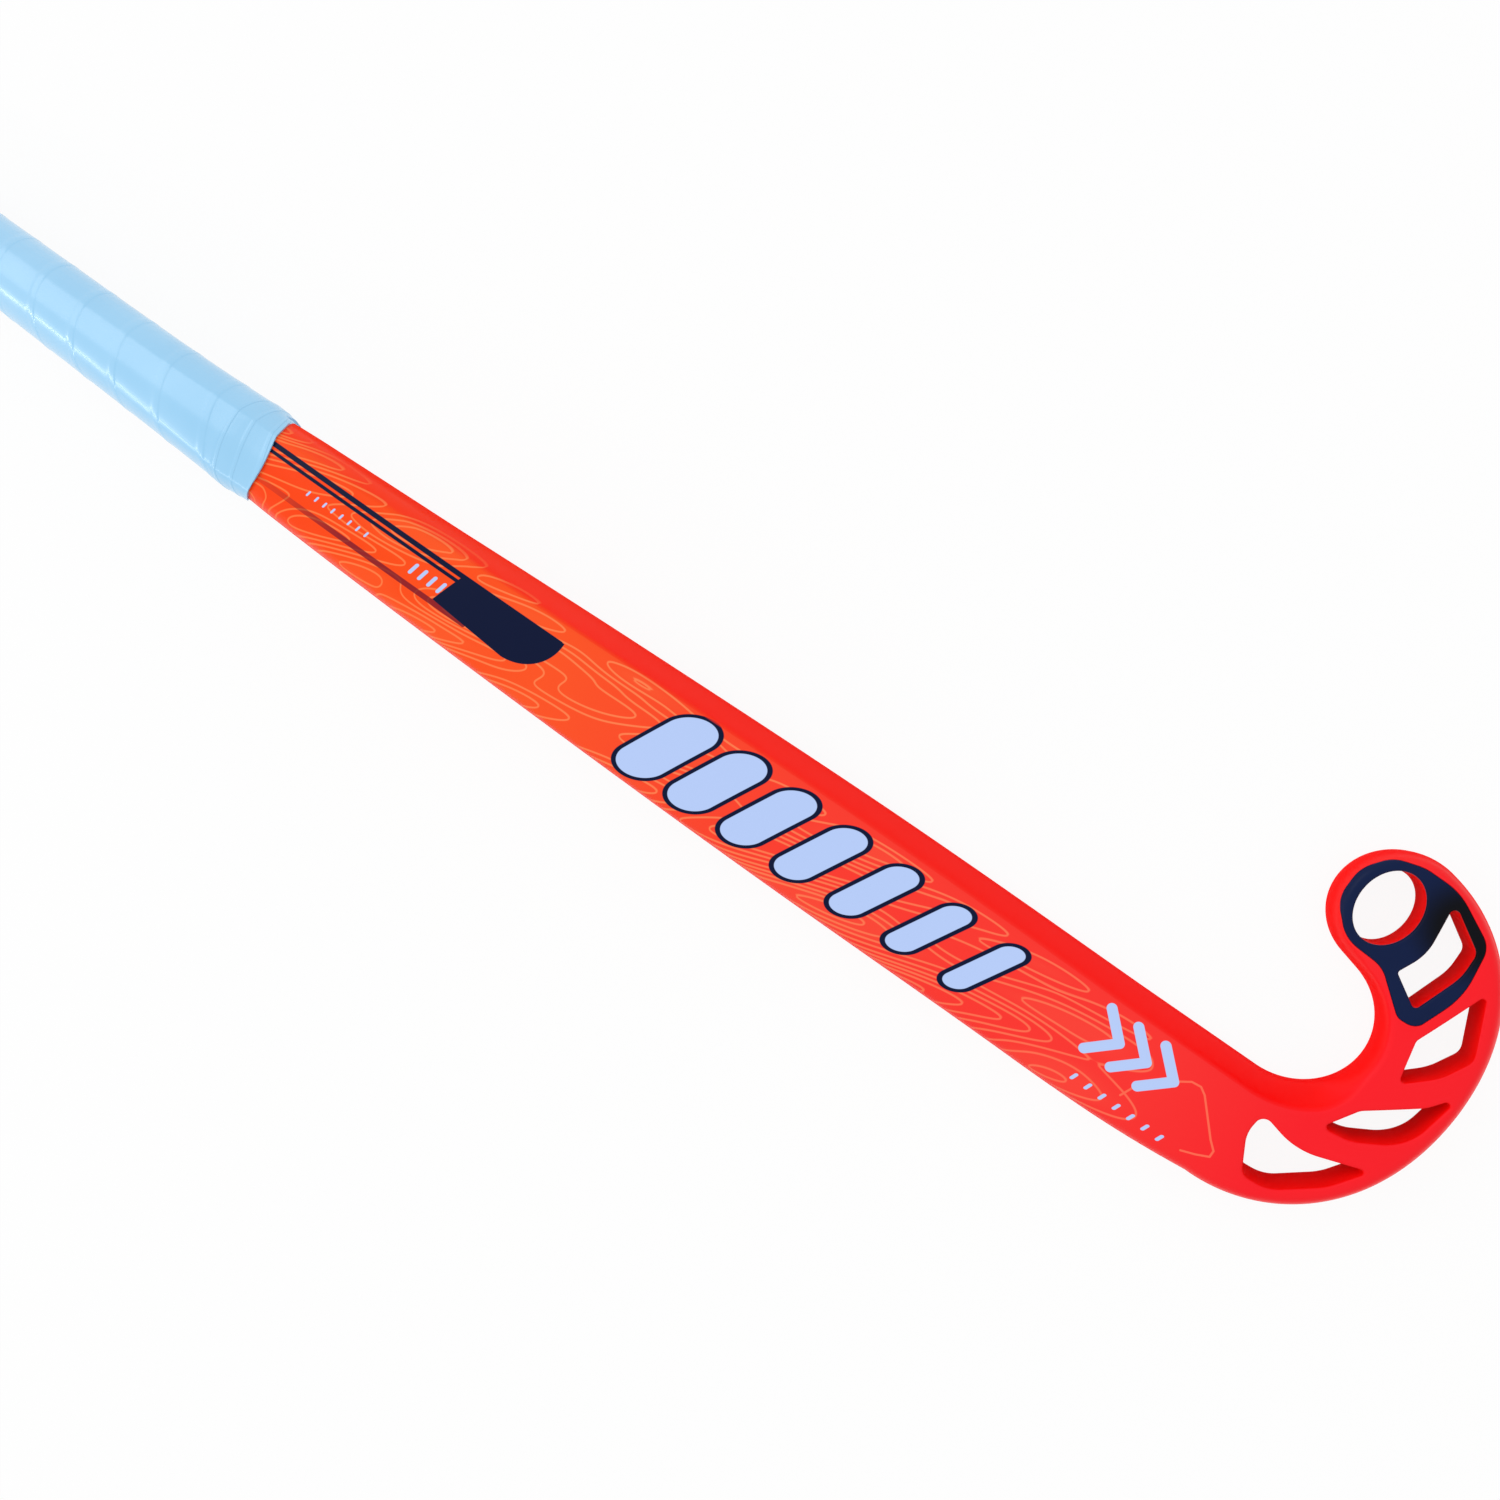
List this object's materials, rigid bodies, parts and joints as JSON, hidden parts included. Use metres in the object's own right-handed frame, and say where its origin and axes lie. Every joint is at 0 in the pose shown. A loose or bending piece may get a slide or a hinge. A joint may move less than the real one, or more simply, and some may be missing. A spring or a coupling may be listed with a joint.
{
  "type": "beach hockey stick",
  "caption": "Bowed composite hockey stick with a hooked head that is cut open for sand, a wound soft grip, a butt cap and its inner fillings.",
  "frame": {"origin": "middle of the stick's outline, on the flat ground that the playing face and the butt lie on", "axes": "+X from the butt to the heel, +Y towards the toe, +Z out of the rounded back"},
  "size_m": [0.926, 0.1382, 0.051],
  "materials": {
    "red_lacquer": "glossy lacquer, orange at the grip and red at the head, over glass fibre laminate",
    "navy_plate": "satin navy",
    "handle_foam": "rigid foam",
    "rib_laminate": "bare laminate",
    "core_foam": "rigid foam",
    "plug_plastic": "moulded",
    "cap_rubber": "matt moulded rubber",
    "cushion_foam": "closed cell foam strip",
    "wrap_blue": "smooth tacky polyurethane tape, light blue",
    "tape_blue": "thin stretch tape, light blue"
  },
  "bodies": {
    "root": {"stick_shell": "red_lacquer", "toe_inlay": "navy_plate", "handle_insert": "handle_foam", "shaft_rib": "rib_laminate", "heel_core": "core_foam", "butt_plug": "plug_plastic", "butt_cap": "cap_rubber", "grip_underlay": "cushion_foam", "grip_wrap": "wrap_blue", "finishing_tape": "tape_blue"}
  },
  "joints": []
}
